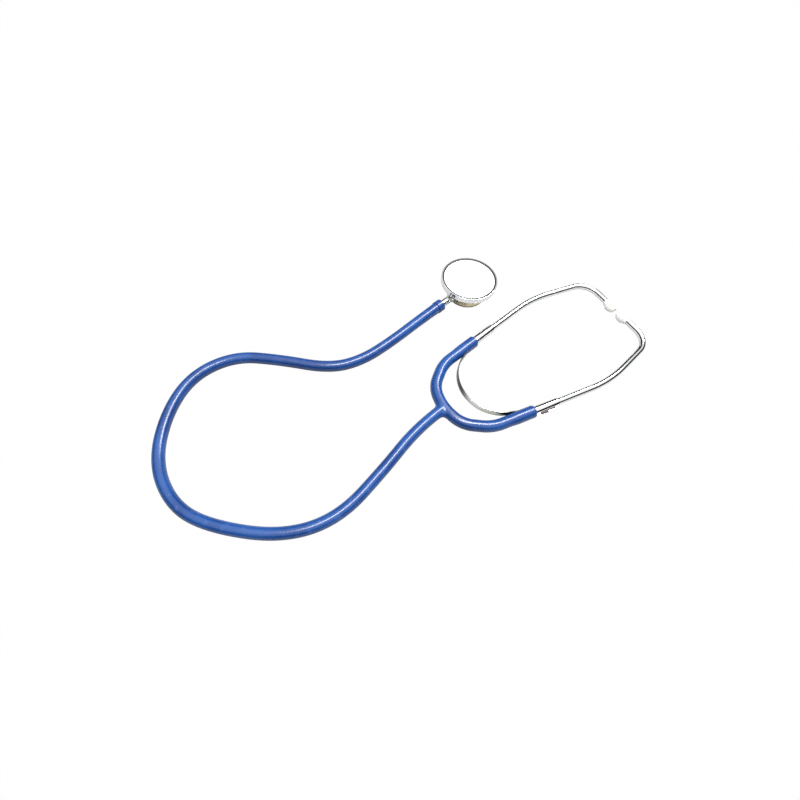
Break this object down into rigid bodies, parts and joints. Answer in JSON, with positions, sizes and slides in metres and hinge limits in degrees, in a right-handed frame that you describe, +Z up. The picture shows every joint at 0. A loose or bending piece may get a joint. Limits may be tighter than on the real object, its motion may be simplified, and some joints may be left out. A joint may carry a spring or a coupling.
{
  "type": "stethoscope",
  "caption": "Stethoscope with a two-sided chestpiece, one-piece forked hose and sprung ear tubes, lying flat.",
  "frame": {"origin": "on the table, under the middle of the instrument without its hose", "axes": "+X along the headset from the hose fork to the ear tips, +Y to the headset's left tube and the chestpiece, +Z up"},
  "size_m": [0.3956, 0.177, 0.0186],
  "materials": {
    "blue_pvc": "glossy dip-moulded PVC",
    "bright_chrome": "polished chrome plate",
    "white_film": "satin plastic sheet",
    "black_rubber": "satin rubber",
    "spring_steel": "drawn spring steel",
    "nickel_brass": "nickel-plated brass",
    "white_plastic": "smooth plastic"
  },
  "bodies": {
    "hose_and_fork": {"hose": "blue_pvc", "hose_fork": "blue_pvc", "leaf_spring": "bright_chrome", "chest_stem": "bright_chrome", "stem_washer": "black_rubber", "spindle_seal": "black_rubber", "snap_ring": "spring_steel", "detent_ball": "spring_steel", "detent_spring": "spring_steel"},
    "chestpiece": {"head_body": "bright_chrome", "diaphragm": "white_film", "diaphragm_ring": "bright_chrome"},
    "left_ear_arm": {"ear_tube_left": "bright_chrome", "spring_clip_left": "bright_chrome", "ear_nipple_left": "nickel_brass"},
    "right_ear_arm": {"ear_tube_right": "bright_chrome", "spring_clip_right": "bright_chrome", "ear_nipple_right": "nickel_brass"},
    "left_tip": {"ear_tip_left": "white_plastic"},
    "right_tip": {"ear_tip_right": "white_plastic"}
  },
  "joints": [
    {"name": "chestpiece_turn", "type": "hinge", "parent": "hose_and_fork", "child": "chestpiece", "pos_m": [-0.0047, 0.0567, 0.0092], "axis": [-0.9842, -0.1771, 0], "continuous": true},
    {"name": "left_arm_spread", "type": "hinge", "parent": "hose_and_fork", "child": "left_ear_arm", "pos_m": [-0.062, -0.0088, 0.0052], "axis": [0, 0, 1], "range_deg": [0, 13], "stiffness_Nm_per_rad": 1.2, "deforming": ["leaf_spring", "hose_fork"]},
    {"name": "right_arm_spread", "type": "hinge", "parent": "hose_and_fork", "child": "right_ear_arm", "pos_m": [-0.062, -0.0528, 0.0052], "axis": [0, 0, -1], "range_deg": [0, 28], "stiffness_Nm_per_rad": 1.2, "deforming": ["leaf_spring", "hose_fork"]},
    {"name": "left_tip_turn", "type": "hinge", "parent": "left_ear_arm", "child": "left_tip", "pos_m": [0.0977, -0.0228, 0.0052], "axis": [0, -1, 0], "continuous": true},
    {"name": "right_tip_turn", "type": "hinge", "parent": "right_ear_arm", "child": "right_tip", "pos_m": [0.0977, -0.0388, 0.0052], "axis": [0, 1, 0], "continuous": true}
  ]
}
